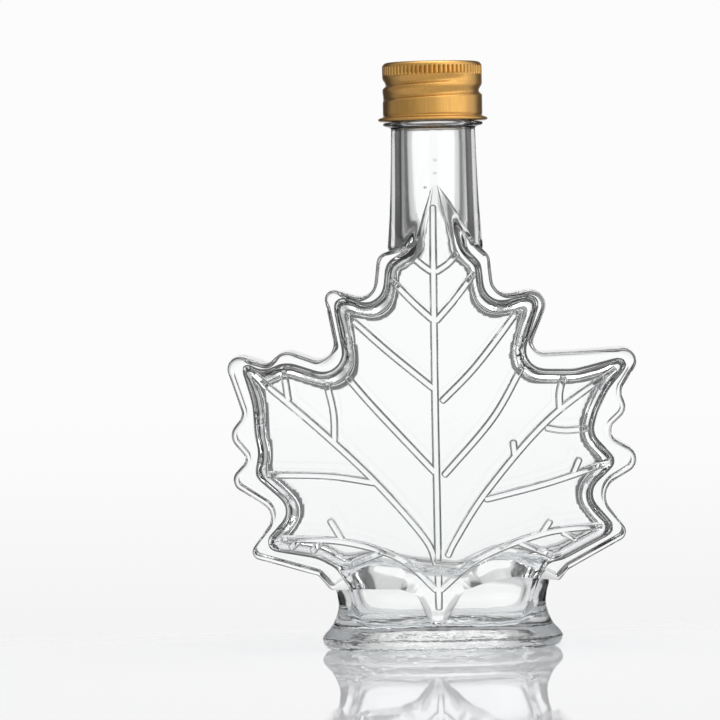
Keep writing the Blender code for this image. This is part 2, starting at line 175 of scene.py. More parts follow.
# %% [markdown]
# # The leaf's outline
#
# The bottle's mould was cut with round tools, so each corner of the leaf is a small arc. A
# table of corners with a radius each gives the whole outline. Each corner also says how the
# edge beside it is rounded. What clear glass shows of an edge is the lines that it draws:
# a full round edge draws a soft double line, a small one a thin crisp line, and a wide plain
# chamfer one light grey band.

# %% The leaf's corners
# How an edge is rounded: how wide, how deep, and how full (1 a plain chamfer, 2 an ellipse)
ROUND = (1.25, 1.1, 1.9)      # most of the outline
CRISP = (0.4, 0.4, 1.2)       # the lower lobes and the edge under them
BULB = (0.8, 0.6, 1.2)        # beside the foot
WIDE = (6.2, 2.35, 1.02)      # over the foot
STEM = (2.8, 1.05, 1.2)
STEM_END = (1.0, 0.3, 1.2)
SHOULDER = (0.8, 0.9, 1.2)
TIP_FOOT = (1.4, 3.2, 1.2)    # steep, where the tip rises from the shoulders
TIP_FLANK = (0.8, 1.5, 1.2)
TIP = (0.5, 0.6, 1.2)

# The leaf's corners: x, z, the arc's radius and the edge
LEAF = [
    (-0.2, 118.5, 1.5, TIP),          # tip, run out on the neck
    (-3.3, 108.5, 12.0, TIP_FLANK),   # tip's left flank
    (-5.8, 101.2, 3.0, TIP_FOOT),     # foot of the tip, left
    (-14.5, 98.5, 3.0, SHOULDER),     # left shoulder
    (-15.9, 87.3, 3.5, ROUND),        # notch under the shoulder
    (-28.4, 91.1, 2.4, ROUND),        # upper left lobe
    (-24.6, 70.8, 6.0, ROUND),        # deep left notch
    (-37.9, 75.6, 4.0, ROUND),        # bump before the side lobe
    (-42.1, 72.1, 2.0, ROUND),        # dip before the side lobe
    (-53.9, 75.9, 5.5, ROUND),        # left side lobe
    (-48.5, 59.4, 2.5, ROUND),        # above the first tooth
    (-52.5, 54.4, 3.8, ROUND),        # first tooth
    (-47.6, 48.5, 1.5, ROUND),        # between the teeth
    (-52.9, 42.9, 3.2, ROUND),        # second tooth
    (-40.6, 34.9, 3.5, ROUND),        # lower left notch
    (-48.2, 24.4, 2.2, CRISP),        # lower left lobe
    (-30.5, 19.2, 1.0, CRISP),        # under edge, left
    (-27.6, 15.6, 2.2, BULB),         # small bulb beside the foot, left
    (-19.0, 15.5, 3.0, WIDE),         # over the foot, left
    (-10.5, 15.3, 3.0, WIDE),         # beside the stem, left
    (-6.3, 14.2, 3.5, STEM),          # stem's left side
    (-1.6, 2.2, 1.2, STEM_END),       # end of the stem
    (5.4, 14.9, 6.0, STEM),           # stem's right side
    (10.2, 16.3, 6.0, WIDE),          # beside the stem, right
    (18.0, 18.0, 5.0, WIDE),          # over the foot, right
    (29.2, 17.0, 1.2, BULB),          # small bulb beside the foot, right
    (31.6, 19.8, 1.0, CRISP),         # under edge, right
    (47.1, 28.2, 2.5, CRISP),         # lower right lobe
    (39.0, 39.0, 4.5, ROUND),         # lower right notch
    (52.3, 46.9, 3.6, ROUND),         # second tooth
    (41.0, 53.4, 2.6, ROUND),         # between the teeth
    (46.9, 58.9, 3.5, ROUND),         # first tooth
    (45.1, 63.7, 3.0, ROUND),         # above the first tooth
    (52.3, 74.8, 4.5, ROUND),         # right side lobe
    (36.0, 73.9, 9.0, ROUND),         # along the lobe's upper edge
    (22.6, 73.5, 2.5, ROUND),         # deep right notch
    (29.5, 90.4, 4.0, ROUND),         # upper right lobe
    (14.5, 87.9, 3.5, ROUND),         # notch under the shoulder
    (13.5, 97.7, 3.0, ROUND),         # right shoulder
    (9.8, 101.6, 5.0, TIP_FOOT),      # foot of the tip, right
    (6.4, 107.6, 14.0, TIP_FLANK),    # tip's right flank
]
print(len(LEAF), "corners")

# %% [markdown]
# # From corners to an outline
#
# Each corner becomes an arc that touches both of its sides, as a round cutter leaves it. The
# same corners moved inward give the line where the flat face starts. Both lines have the same
# number of points, so that a slab can be drawn out from one to the other.

# %% Turn corners into outlines and slabs
ARC_STEP = math.radians(7)    # largest turn from one point of an outline to the next
MOST_OF_SIDE = 0.49           # an arc takes at most this share of either side


def sides(corners, i):
    """The directions of the sides before and after a corner."""
    here = Vector(corners[i][:2])
    before = here - Vector(corners[i - 1][:2])
    after = Vector(corners[(i + 1) % len(corners)][:2]) - here
    return before, after


def arc_steps(corners, i):
    """How many steps the arc at a corner is drawn with."""
    return max(3, math.ceil(Vector.angle(*sides(corners, i)) / ARC_STEP))


def moved_in(corners, distances, least):
    """The same corners moved inward, with the radii that keep the arcs side by side."""
    moved = []
    for i, (corner, distance) in enumerate(zip(corners, distances)):
        before, after = (side.normalized() for side in sides(corners, i))
        inward_before = Vector((-before.y, before.x))
        inward_after = Vector((-after.y, after.x))
        shift = (inward_before + inward_after) * distance
        here = Vector(corner[:2]) + shift / (1 + inward_before.dot(inward_after))
        points_out = before.x * after.y - before.y * after.x > 0
        radius = corner[2] - distance if points_out else corner[2] + distance
        moved.append((here.x, here.y, max(radius, least)))
    return moved


def outline(corners, like):
    """Points of the outline. Each arc has the steps of the same corner in another outline."""
    points = []
    for i, (x, z, radius, *_) in enumerate(corners):
        before, after = sides(corners, i)
        steps = arc_steps(like, i)
        half = (math.pi - before.angle(after)) / 2
        reach = min(radius / math.tan(half), MOST_OF_SIDE * min(before.length, after.length))
        radius = reach * math.tan(half)
        start = -before.normalized() * reach
        end = after.normalized() * reach
        centre = (start + end).normalized() * radius / math.sin(half)
        turn = (start - centre).angle(end - centre)
        for step in range(steps + 1):
            share = step / steps
            first = math.sin((1 - share) * turn) / math.sin(turn)
            second = math.sin(share * turn) / math.sin(turn)
            point = centre + (start - centre) * first + (end - centre) * second
            points.append(Vector((x, z)) + point)
    return points


def slab(name, outlines, half_depth, edges, steps):
    """A flat-faced slab, drawn out from its front face to its back one. Of the outlines, the
    first is its middle, and the edge is rounded from the second to the third, the face. Each
    point of an outline has an edge of its own."""
    middle, wall, face = outlines
    levels = [[(point.x, 0.0, point.y) for point in middle]]
    for step in range(steps + 1):
        angle = math.pi / 2 * step / steps
        ring = []
        for one, other, (_, edge_depth, power) in zip(wall, face, edges):
            point = one.lerp(other, 1 - math.cos(angle) ** (2 / power))
            short = edge_depth * (1 - math.sin(angle) ** (2 / power))
            ring.append((point.x, half_depth - short, point.y))
        levels.append(ring)
    front = [[(x, -depth, z) for x, depth, z in ring] for ring in levels[:0:-1]]
    return drawn_out(name, [[place(*point) for point in ring] for ring in front + levels])


across = [point.x for point in outline(LEAF, LEAF)]
print("leaf %.1f mm across" % (max(across) - min(across)))

# %% [markdown]
# # The leaf
#
# The leaf is a thick slab with a flat front and back. Its side leans in a little so that the
# glass leaves the mould, and it turns into the faces with the edges of the table. The tip
# runs out on the neck: both faces are cut across above the shoulders, and what lies above the
# cut is squeezed towards the middle.

# %% Make the leaf
LEAF_HALF_DEPTH = 12.5
EDGE_STEPS = 8
DRAFT = 0.2                   # how much the straight part of the side leans in
LEAST_RADIUS = 0.4
TIP_CUT, TIP_TOP = 101.0, 117.5
TIP_HALF_DEPTH = 10.6         # the faces meet the neck's surface at the tip


def face_depth(z):
    """How far a face is from the middle of the leaf, which is less along the tip."""
    rise = max(0.0, (z - TIP_CUT) / (TIP_TOP - TIP_CUT))
    return LEAF_HALF_DEPTH - rise * (LEAF_HALF_DEPTH - TIP_HALF_DEPTH)


wall = moved_in(LEAF, [DRAFT] * len(LEAF), LEAST_RADIUS)
face = moved_in(LEAF, [DRAFT + width for *_, (width, _, _) in LEAF], LEAST_RADIUS)
edges = [corner[3] for i, corner in enumerate(LEAF) for _ in range(arc_steps(LEAF, i) + 1)]
bottle = slab(
    "glass_bottle", [outline(corners, LEAF) for corners in (LEAF, wall, face)],
    LEAF_HALF_DEPTH, edges, EDGE_STEPS,
)

bpy.ops.object.mode_set(mode="EDIT")
bpy.ops.mesh.select_all(action="SELECT")
bpy.ops.mesh.bisect(plane_co=place(0, 0, TIP_CUT), plane_no=(0, 0, 1))
bpy.ops.object.mode_set(mode="OBJECT")
for point in bottle.data.vertices:
    point.co.y *= face_depth(point.co.z / MM) / LEAF_HALF_DEPTH
print("leaf:", triangles(bottle), "triangles")

# %% [markdown]
# # The neck
#
# The neck is a plain round tube that widens towards the leaf, with a glass ring just under
# the cap. What the cap hides is plain, and open at the top. Circles of changing size are all
# that it takes, and the Boolean modifier joins it to the leaf with the crisp line that the
# photo shows beside the tip.

# %% Make the neck
ROUND_STEPS = 144
# radius and height, from the mouth down
MOUTH_SIDE = [(9.6, 144.05), (10.1, 143.85), (10.3, 143.35), (10.3, 131.05)]
RING_SIDE = [
    (12.0, 131.05), (12.3, 130.97), (12.45, 130.75), (12.45, 130.5), (12.25, 130.25),
    (11.9, 130.1), (11.3, 129.97), (10.9, 129.85), (10.62, 129.65), (10.5, 129.4),
]
NECK_SIDE = smooth_path([(10.5, 129.2), (10.72, 121.0), (11.15, 110.0), (11.9, 100.2)], 6)
NECK_END = (11.0, 94.0)       # inside the leaf


def circle(radius, height):
    """One round section about the neck's axis."""
    return [
        place(radius * math.cos(2 * math.pi * i / ROUND_STEPS),
              radius * math.sin(2 * math.pi * i / ROUND_STEPS), height)
        for i in range(ROUND_STEPS)
    ]


neck_side = MOUTH_SIDE + RING_SIDE + NECK_SIDE + [NECK_END]
neck = drawn_out("neck", [circle(*level) for level in neck_side])
print("neck:", triangles(neck), "triangles")

# %% [markdown]
# # The foot
#
# The foot is oval, between an ellipse and a rounded box. Its side swells at the floor, draws
# in above and widens again under the leaf. Each section is one superellipse, and a smooth
# line through a few heights gives the sections between.

# %% Make the foot
FOOT_POWER = 2.35             # 2 would be an ellipse
FOOT_STEPS = 180
FOOT_LEVELS = [               # height, half width, half depth
    (0.0, 27.4, 12.2), (0.5, 28.8, 13.5), (1.4, 29.6, 14.3), (2.9, 30.0, 14.7),
    (4.2, 29.2, 14.1), (5.6, 27.9, 13.1), (7.6, 26.8, 12.1), (10.6, 25.9, 10.9),
    (13.8, 26.2, 10.4), (17.0, 26.8, 10.2), (23.0, 25.0, 9.0),
]


def oval(height, half_width, half_depth, power=FOOT_POWER):
    """One section of the foot."""
    ring = []
    for i in range(FOOT_STEPS):
        across = math.cos(2 * math.pi * i / FOOT_STEPS)
        along = math.sin(2 * math.pi * i / FOOT_STEPS)
        ring.append(place(
            half_width * math.copysign(abs(across) ** (2 / power), across),
            half_depth * math.copysign(abs(along) ** (2 / power), along), height))
    return ring


foot = drawn_out("foot", [oval(*level) for level in smooth_path(FOOT_LEVELS, 4)])
combined(bottle, [neck, foot], "UNION")
print("leaf, neck and foot:", triangles(bottle), "triangles")

# %% [markdown]
# # The veins' lines
#
# The veins are one midrib with a vein to each lobe and tooth, and short spurs on those. Each
# is a few points on the front face. They are listed here by where they run.

# %% Where the veins run
VEINS = {                     # x and z
    "midrib": [(-0.4, 110.5), (-0.6, 92.7), (-0.8, 61.7), (-0.8, 37.7), (-0.8, 10.3)],
    "first_left": [(-5.2, 97.2), (-2.9, 95.3), (-0.7, 93.7)],
    "first_right": [(5.6, 98.7), (3.1, 95.9), (-0.4, 93.6)],
    "second_left": [(-11.2, 92.5), (-6.0, 86.8), (-0.7, 81.8)],
    "second_right": [(9.5, 93.7), (5.0, 87.6), (-0.5, 81.4)],
    "third_left": [(-20.8, 82.4), (-11.7, 74.1), (-0.8, 64.9)],
    "third_right": [(20.3, 84.3), (9.4, 70.5), (0.6, 61.7)],
    "fourth_left": [(-22.6, 68.7), (-15.6, 60.4), (-0.9, 44.2)],
    "fourth_right": [(20.7, 70.0), (13.2, 57.4), (0.8, 43.4)],
    "lobe_left": [(-45.4, 69.5), (-29.6, 55.7), (-16.0, 42.5), (-4.0, 28.3), (-1.2, 21.5)],
    "lobe_right": [(43.9, 69.4), (26.6, 56.6), (11.5, 39.6), (3.7, 27.9), (1.4, 23.4)],
    "upper_spur_left": [(-38.0, 70.5), (-36.9, 62.4)],
    "inner_spur_left": [(-27.5, 67.3), (-25.9, 59.7), (-25.8, 52.1)],
    "tooth_left": [(-42.8, 44.7), (-27.0, 44.0), (-15.4, 42.1)],
    "upper_spur_right": [(31.1, 67.8), (29.9, 63.7), (29.9, 59.1)],
    "inner_spur_right": [(26.0, 55.1), (31.0, 54.3), (37.0, 54.7)],
    "short_spur_right": [(18.2, 52.3), (18.6, 47.9)],
    "tooth_right": [(10.8, 37.5), (27.1, 41.5), (42.2, 46.4)],
    "tooth_spur_right": [(34.6, 47.6), (32.6, 43.1)],
    "low_left": [(-39.6, 28.8), (-23.7, 27.7), (-10.2, 23.3), (-1.0, 15.1)],
    "low_left_spur_a": [(-27.5, 33.6), (-24.2, 27.9)],
    "low_left_spur_b": [(-37.4, 26.1), (-34.8, 28.5)],
    "low_left_spur_c": [(-32.1, 25.2), (-29.2, 28.3)],
    "low_left_spur_d": [(-22.1, 22.3), (-14.2, 25.1)],
    "low_right": [(39.9, 30.6), (25.6, 29.0), (9.5, 23.1), (-0.7, 15.1)],
    "low_right_spur_a": [(27.2, 32.4), (24.6, 28.5)],
    "low_right_spur_b": [(29.6, 29.4), (33.7, 27.1)],
    "low_right_spur_c": [(19.0, 26.9), (27.5, 23.5)],
}
print(len(VEINS), "veins")

# %% [markdown]
# # The veins' form
#
# The veins stand proud of the front face as narrow ridges. What shows of a clear ridge is its
# two steep sides, as a pair of fine dark lines with a light one between, so the section has
# steep sides and a flat top. Each vein is that section drawn along its smooth line, and it is
# smaller at its ends, where the mould's cutter came out of the metal.

# %% Make the veins
VEIN_SECTION = [              # across, above the face
    (0.98, -0.5), (0.98, 0.0), (0.89, 0.26), (0.78, 0.48), (0.66, 0.64), (0.53, 0.75),
    (0.35, 0.82),
]
VEIN_STEPS = 10
VEIN_END = 0.8                # a vein gets smaller over this length
VEIN_END_STEPS = [0.0, 0.12, 0.35, 0.65]
VEIN_END_SIZE = 0.25          # how much of its section is left at the end


def vein(name, points):
    """A ridge on the front face, drawn along a smooth line through its points."""
    half = [Vector(corner) for corner in VEIN_SECTION]
    section = half + [Vector((-corner.x, corner.y)) for corner in reversed(half)]
    path = smooth_path(points, VEIN_STEPS)
    ahead = (path[1] - path[0]).normalized()
    back = (path[-1] - path[-2]).normalized()
    path = (
        [path[0] + ahead * VEIN_END * step for step in VEIN_END_STEPS]
        + [p for p in path if min((p - path[0]).length, (p - path[-1]).length) > VEIN_END]
        + [path[-1] - back * VEIN_END * step for step in reversed(VEIN_END_STEPS)]
    )
    rings = []
    for i, here in enumerate(path):
        along = (path[min(i + 1, len(path) - 1)] - path[max(i - 1, 0)]).normalized()
        from_end = min((here - path[0]).length, (here - path[-1]).length) / VEIN_END
        rounding = math.sqrt(1 - (1 - min(from_end, 1.0)) ** 2)
        share = VEIN_END_SIZE + (1 - VEIN_END_SIZE) * rounding
        rings.append([
            place(here.x + along.y * across * share, -face_depth(here.y) - up * share,
                  here.y - along.x * across * share)
            for across, up in section
        ])
    return drawn_out(name, rings)


combined(bottle, [vein(name, points) for name, points in VEINS.items()], "UNION")
print("with the veins:", triangles(bottle), "triangles")

# %% [markdown]
# # The hollow's corners
#
# Air blows the hollow into hot glass, so it is rounder than the mould. Its outline has a
# corner for each corner of the leaf, but rounder and further in, because the glass is thick
# and doesn't fill the teeth.

# %% The hollow's corners
HOLLOW = [                    # x, z and radius
    (-5.2, 111.0, 1.5),             # in the bore, left
    (-7.0, 99.8, 3.0),              # neck's foot, left
    (-12.5, 96.3, 3.0),             # left shoulder
    (-13.7, 85.2, 4.5),             # notch under the shoulder
    (-26.3, 89.1, 1.4),             # upper left lobe
    (-22.4, 67.3, 5.5),             # deep left notch
    (-37.9, 72.6, 6.0),             # bump before the side lobe
    (-43.5, 69.7, 5.0),             # dip before the side lobe
    (-49.7, 73.8, 2.2),             # left side lobe
    (-46.2, 61.5, 14.0),            # above the first tooth
    (-46.0, 54.5, 10.0),            # first tooth
    (-45.0, 49.3, 4.0),             # between the teeth
    (-46.3, 43.9, 3.0),             # second tooth
    (-36.8, 35.4, 4.0),             # lower left notch
    (-45.6, 25.8, 1.4),             # lower left lobe
    (-30.6, 23.0, 8.0),             # under edge, left
    (-24.8, 19.6, 5.0),             # small bulb beside the foot, left
    (-16.7, 20.9, 8.0),             # over the foot, left
    (-7.8, 18.9, 5.0),              # stem's left side
    (4.8, 17.3, 5.0),               # stem's right side
    (14.1, 21.6, 8.0),              # over the foot, right
    (25.4, 20.5, 5.0),              # small bulb beside the foot, right
    (30.4, 21.7, 8.0),              # under edge, right
    (44.4, 28.9, 1.6),              # lower right lobe
    (36.4, 38.3, 4.0),              # lower right notch
    (44.7, 46.0, 2.0),              # second tooth
    (38.2, 53.1, 3.5),              # between the teeth
    (39.7, 58.4, 15.0),             # first tooth
    (42.5, 64.0, 8.0),              # above the first tooth
    (50.3, 73.2, 2.4),              # right side lobe
    (33.8, 69.3, 9.0),              # along the lobe's upper edge
    (20.4, 69.6, 4.5),              # deep right notch
    (26.7, 88.7, 2.4),              # upper right lobe
    (12.3, 85.5, 4.5),              # notch under the shoulder
    (11.4, 95.9, 3.0),              # right shoulder
    (7.6, 99.8, 3.0),               # neck's foot, right
    (5.6, 111.0, 1.5),              # in the bore, right
]
print(len(HOLLOW), "corners")

# %% [markdown]
# # The hollow's parts
#
# The hollow is drawn as a form of its own: the leaf's hollow with a wide soft edge, which
# gets shallower in a funnel below the neck, the neck's bore, and a boxy hollow in the foot
# with a mound of glass under it. The foot's hollow follows the foot's waist, so that the wall
# is even there and one sees straight through it.

# %% Draw the hollow's parts
FACE_WALL = 3.1               # glass behind a flat face
HOLLOW_HALF_DEPTH = LEAF_HALF_DEPTH - FACE_WALL
HOLLOW_EDGE = (3.6, HOLLOW_HALF_DEPTH - 0.01, 2.0)    # an ellipse that takes the whole depth
HOLLOW_EDGE_STEPS = 12
HOLLOW_LEAST_RADIUS = 2.4
VOXEL = 0.7
FUNNEL = (95.0, 110.0)        # the hollow's depth comes down to the bore's between these
FUNNEL_HALF_DEPTH = 7.6
# radius and height
BORE = [(7.0, 150.0), (7.0, 138.0), (7.3, 134.0), (7.7, 130.0), (7.85, 126.0), (7.85, 92.0)]
FOOT_HOLLOW_POWER = 3.2
FOOT_HOLLOW = [               # height, half width, half depth
    (3.8, 15.5, 4.6), (4.6, 19.2, 7.4), (6.2, 21.2, 9.0), (8.4, 21.5, 8.7), (11.0, 21.8, 7.9),
    (14.0, 22.5, 7.4), (17.0, 23.8, 7.55), (20.0, 26.0, 7.8), (23.0, 28.0, 8.0),
]
FLOOR_MOUND = (19.0, 8.4, 2.8)


def ball(half_sizes, x, y, z, segments=96):
    """A flattened ball, for a mound, a push-up or a seed."""
    bpy.ops.object.select_all(action="DESELECT")
    bpy.ops.mesh.primitive_uv_sphere_add(
        segments=segments, ring_count=segments // 2, radius=1.0, location=place(x, y, z),
        scale=Vector(half_sizes) * MM,
    )
    bpy.ops.object.transform_apply(location=True, rotation=True, scale=True)
    return bpy.context.object


def ease(value):
    """From 0 to 1 with a soft start and end."""
    value = max(0.0, min(1.0, value))
    return value * value * (3 - 2 * value)


wide = moved_in(HOLLOW, [0.0] * len(HOLLOW), HOLLOW_LEAST_RADIUS)
narrow = moved_in(HOLLOW, [HOLLOW_EDGE[0]] * len(HOLLOW), HOLLOW_LEAST_RADIUS)
outlines = [outline(corners, HOLLOW) for corners in (wide, wide, narrow)]
hollow = slab(
    "hollow", outlines, HOLLOW_HALF_DEPTH, [HOLLOW_EDGE] * len(outlines[0]), HOLLOW_EDGE_STEPS)
applied(hollow, "REMESH", mode="VOXEL", voxel_size=VOXEL * MM)
for point in hollow.data.vertices:
    up = ease((point.co.z / MM - FUNNEL[0]) / (FUNNEL[1] - FUNNEL[0]))
    point.co.y *= 1 - up * (1 - FUNNEL_HALF_DEPTH / HOLLOW_HALF_DEPTH)
bore = drawn_out("bore", [circle(*level) for level in BORE])
foot_hollow = drawn_out(
    "foot_hollow", [oval(*level, FOOT_HOLLOW_POWER) for level in FOOT_HOLLOW])
combined(hollow, [bore, foot_hollow], "UNION")
combined(hollow, [ball(FLOOR_MOUND, 0, 0, FOOT_HOLLOW[0][0])], "DIFFERENCE")
print("hollow's parts:", triangles(hollow), "triangles")

# %% [markdown]
# # The hollow as one soft form
#
# Hot glass has no crisp lines inside. The Remesh modifier gives the hollow an even grid of
# small faces, and the Smooth modifier then melts its parts together. The floor is made a
# little uneven, as glass sets there. The two big faces are laid flat again, because clear
# glass shows the least wave as a grey cloud, and flat grids are dissolved to single faces.

# %% Melt the hollow's parts together
SMOOTHING_STEPS = 8
FLOOR_WAVE = 0.12             # how uneven the hollow's floor is
WAVES_ACROSS, WAVES_ALONG = (0.9, 0.4), (0.5, 1.1)    # radians a millimetre, by x and by y
WAVE_BEND = 1.3
WAVE_FADE = (5.0, 10.0)       # the waves fade out between these heights
FLAT_ENOUGH = 0.06            # points this close to a flat face belong to it
FLAT_ANGLE = math.radians(0.25)


def floor_wave(x, y):
    """Two sets of waves that cross, between -1 and 1."""
    bent = WAVES_ACROSS[0] * x + WAVE_BEND * math.sin(WAVES_ALONG[0] * y)
    return math.sin(bent) * math.cos(WAVES_ALONG[1] * y + WAVES_ACROSS[1] * x)


applied(hollow, "REMESH", mode="VOXEL", voxel_size=VOXEL * MM)
applied(hollow, "SMOOTH", factor=0.5, iterations=SMOOTHING_STEPS)
for point in hollow.data.vertices:
    x, y, z = (point.co - NECK) / MM
    low = 1 - ease((z - WAVE_FADE[0]) / (WAVE_FADE[1] - WAVE_FADE[0]))
    point.co.z += FLOOR_WAVE * floor_wave(x, y) * low * MM
    if abs(abs(point.co.y) / MM - HOLLOW_HALF_DEPTH) < FLAT_ENOUGH:
        point.co.y = math.copysign(HOLLOW_HALF_DEPTH * MM, point.co.y)
bpy.ops.object.mode_set(mode="EDIT")
bpy.ops.mesh.select_all(action="SELECT")
bpy.ops.mesh.dissolve_limited(angle_limit=FLAT_ANGLE)
bpy.ops.object.mode_set(mode="OBJECT")
print("hollow:", triangles(hollow), "triangles")

# %% [markdown]
# # Out of the glass
#
# The Boolean modifier takes the hollow out of the bottle. The foot gets its push-up, a shallow
# dome that lets the bottle stand on its rim alone. Three seeds, tiny bubbles that burst at the
# skin, leave pits on the neck above the tip and beside it.

# %% Take the hollow, the push-up and the seeds out
PUSH_UP = (21.5, 8.6, 0.7)    # half its size across, deep and high
SEED = (0.42, 0.13, 0.3)      # likewise
SEED_SEGMENTS = 18
SEEDS = [(0.35, -10.7, 121.5), (0.2, -10.8, 118.3), (-2.2, -10.65, 114.8)]

combined(bottle, [hollow, ball(PUSH_UP, 0, 0, 0)], "DIFFERENCE")
seeds = [ball(SEED, *middle, SEED_SEGMENTS) for middle in SEEDS]
combined(bottle, seeds, "DIFFERENCE")
print("bottle:", triangles(bottle), "triangles")

# %% [markdown]
# # A clean mesh
#
# Where many forms are joined, a few points end up on top of each other and leave slivers of
# faces between them. They are merged first. Only then the normals are turned outwards, so
# that the bottle is one closed skin, from its outside over the mouth into the hollow.

# %% Clean the bottle's mesh
SAME_POINT = 0.001            # points closer than this become one

only(bottle)
bpy.ops.object.mode_set(mode="EDIT")
bpy.ops.mesh.select_all(action="SELECT")
bpy.ops.mesh.remove_doubles(threshold=SAME_POINT * MM)
bpy.ops.mesh.dissolve_degenerate(threshold=SAME_POINT * MM)
bpy.ops.mesh.select_all(action="SELECT")
bpy.ops.mesh.normals_make_consistent(inside=False)
bpy.ops.object.mode_set(mode="OBJECT")
print("clean bottle:", triangles(bottle), "triangles")

# %% [markdown]
# # Smooth shading for the glass
#
# Glass shows every wrong normal. The curves are shaded smooth and the crisp lines kept, and
# the Weighted Normal modifier gives the big flat faces their own even normal right up to
# their edges, so that they stay as clear as a window.

# %% Shade the glass
SHARP = math.radians(35)
only(bottle)
bpy.ops.object.shade_smooth_by_angle(angle=SHARP)
applied(bottle, "WEIGHTED_NORMAL", mode="FACE_AREA", weight=100, keep_sharp=True)
print("lines are crisp from %.0f degrees" % math.degrees(SHARP))

# %% [markdown]
# # The cap's groove and ribs
#
# The cap is one thin aluminium shell: pressed, knurled round its top edge and rolled into the
# glass thread. The rollers push the side in. Two functions say how deep the thread groove and
# the flutes between the ribs are at one place of the side.

# %% How deep the rollers pushed
THREAD_PITCH = 3.3
THREAD_TURNS = 1.45
THREAD_START = (math.radians(165), 136.9)   # angle and height where the groove starts
THREAD_DEPTH = 0.8
THREAD_REACH = (2.0, 1.1)     # how far the groove reaches above and below its middle
THREAD_FADE = 0.12            # in turns
RIBS = 66
RIB_DEPTH = 0.45
RIB_CRISPNESS = 3             # the higher, the narrower the flutes
RIB_BAND = (142.7, 145.0)
RIB_FADE = 0.3


def thread_depth(angle, height):
    """How deep the rolled groove is at one place of the cap's side."""
    deepest = 0.0
    first = ((angle - THREAD_START[0]) / (2 * math.pi)) % 1.0
    for turns in (first, first + 1):
        above = height - THREAD_START[1] - THREAD_PITCH * turns
        reach = THREAD_REACH[0] if above > 0 else THREAD_REACH[1]
        if abs(above) < reach and turns < THREAD_TURNS:
            fade = ease(turns / THREAD_FADE) * ease((THREAD_TURNS - turns) / THREAD_FADE)
            share = (1 + math.cos(math.pi * above / reach)) / 2
            deepest = max(deepest, THREAD_DEPTH * fade * share)
    return deepest


def rib_depth(angle, height):
    """How deep the knurled flutes are at one place of the cap's side."""
    bottom, top = RIB_BAND
    fade = ease((height - bottom) / RIB_FADE) * ease((top - height) / RIB_FADE)
    return RIB_DEPTH * fade * ((1 + math.cos(RIBS * angle)) / 2) ** RIB_CRISPNESS


print("the groove is %.1f mm deep, the flutes %.2f mm" % (THREAD_DEPTH, RIB_DEPTH))

# %% [markdown]
# # The gold cap
#
# The cap starts as a turned form with closely spaced sections: up its side, over the rounded
# top edge, and at the bottom a curled lip that hides the cut edge of the sheet. Each point of
# its side is pushed in by as much as the groove and the flutes are deep there.

# %% Make the cap
CAP_RADIUS = 12.4
CAP_INSIDE = 11.1
CAP_TOP, CAP_UNDER_TOP = 146.0, 144.4
TOP_ROUNDING = 1.2
SIDE_BOTTOM = 133.1
SIDE_STEPS = 58
CAP_STEPS = 528               # eight steps for each rib
LIP = [                       # radius and height
    (CAP_INSIDE, 131.7), (11.4, 131.45), (12.4, 131.4), (13.2, 131.4), (13.55, 131.6),
    (13.65, 131.85), (13.5, 132.1), (13.0, 132.3), (12.5, 132.5), (12.27, 132.8),
    (CAP_RADIUS, SIDE_BOTTOM),
]


def cap_section(radius, height):
    """One round section of the cap, with the groove and the flutes pushed in."""
    ring = []
    for i in range(CAP_STEPS):
        angle = 2 * math.pi * i / CAP_STEPS
        pushed = 0.0
        if radius > CAP_INSIDE and height > SIDE_BOTTOM:
            pushed = thread_depth(angle, height) + rib_depth(angle, height)
        here = radius - pushed
        ring.append(place(here * math.cos(angle), here * math.sin(angle), height))
    return ring


side_top = CAP_TOP - TOP_ROUNDING
side = [
    (CAP_RADIUS, SIDE_BOTTOM + (side_top - SIDE_BOTTOM) * i / SIDE_STEPS)
    for i in range(1, SIDE_STEPS)
]
top_edge = [                  # a quarter of a circle
    (CAP_RADIUS - TOP_ROUNDING * (1 - math.cos(math.radians(angle))),
     side_top + TOP_ROUNDING * math.sin(math.radians(angle)))
    for angle in range(0, 91, 10)
]
cap_side = [(CAP_INSIDE, CAP_UNDER_TOP)] + smooth_path(LIP, 2) + side + top_edge
cap = drawn_out("gold_cap", [cap_section(*level) for level in cap_side])
only(cap)
bpy.ops.object.shade_smooth_by_angle(angle=SHARP)
print("cap:", triangles(cap), "triangles")

# %% [markdown]
# # Materials
#
# Colours are written as they look on a screen and turned to the linear values that Blender
# works with. One small function adds a node with its settings and links.

# %% Helpers for materials
def linear(colour):
    """Linear red, green, blue and alpha from an sRGB hex value."""
    parts = [int(colour[i:i + 2], 16) / 255 for i in (1, 3, 5)]
    return [p / 12.92 if p <= 0.04045 else ((p + 0.055) / 1.055) ** 2.4 for p in parts] + [1.0]


def add(tree, kind, values=(), links=(), **settings):
    """Adds a node with its own settings, its sockets' values and the links into them."""
    node = tree.nodes.new(kind)
    for setting, value in settings.items():
        setattr(node, setting, value)
    for socket, value in dict(values).items():
        node.inputs[socket].default_value = value
    for socket, output in dict(links).items():
        tree.links.new(output, node.inputs[socket])
    return node


def material(name):
    """A new material, its node tree and its output."""
    made = bpy.data.materials.new(name)
    made.use_nodes = True
    made.node_tree.nodes.clear()
    return made, made.node_tree, add(made.node_tree, "ShaderNodeOutputMaterial")


print("mid grey #808080 is %.3f in linear light" % linear("#808080")[0])

# %% [markdown]
# # Soda-lime glass
#
# The bottle is moulded soda-lime glass, clear and without colour. The mould leaves gentle
# waves in its skin, and the thick base chills unevenly, which leaves stronger streaks near
# the floor. Both are far too low to model, so they are a bump. The Principled shader's
# transmission bends and mirrors the light. The renderer would cast a black shadow under
# glass, so light passes through it on its way to the lamp.

